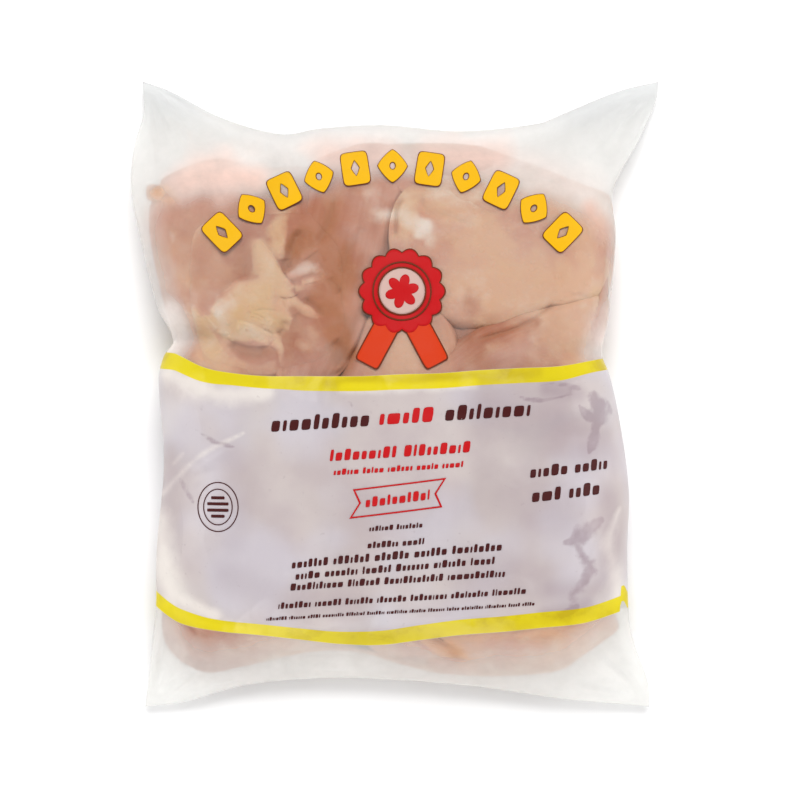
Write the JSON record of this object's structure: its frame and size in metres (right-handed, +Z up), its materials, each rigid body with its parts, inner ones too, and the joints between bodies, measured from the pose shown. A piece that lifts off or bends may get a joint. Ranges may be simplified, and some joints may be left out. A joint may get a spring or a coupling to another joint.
{
  "type": "bag of raw chicken leg quarters",
  "caption": "Sealed pillow bag of milky clear film, packed tight with raw chicken leg quarters, with flat corner ears and a printed white band edged in yellow.",
  "frame": {"origin": "centre of the bag's footprint, on the surface that it lies on", "axes": "+Z up through the printed front; +Y along the bag from its bottom weld to its top weld; +X to the right across the printed front"},
  "size_m": [0.3084, 0.367, 0.0863],
  "materials": {
    "film": "milky clear film, slightly creased, over pink raw meat"
  },
  "bodies": {
    "root": {"sealed_bag": "film"}
  },
  "joints": []
}
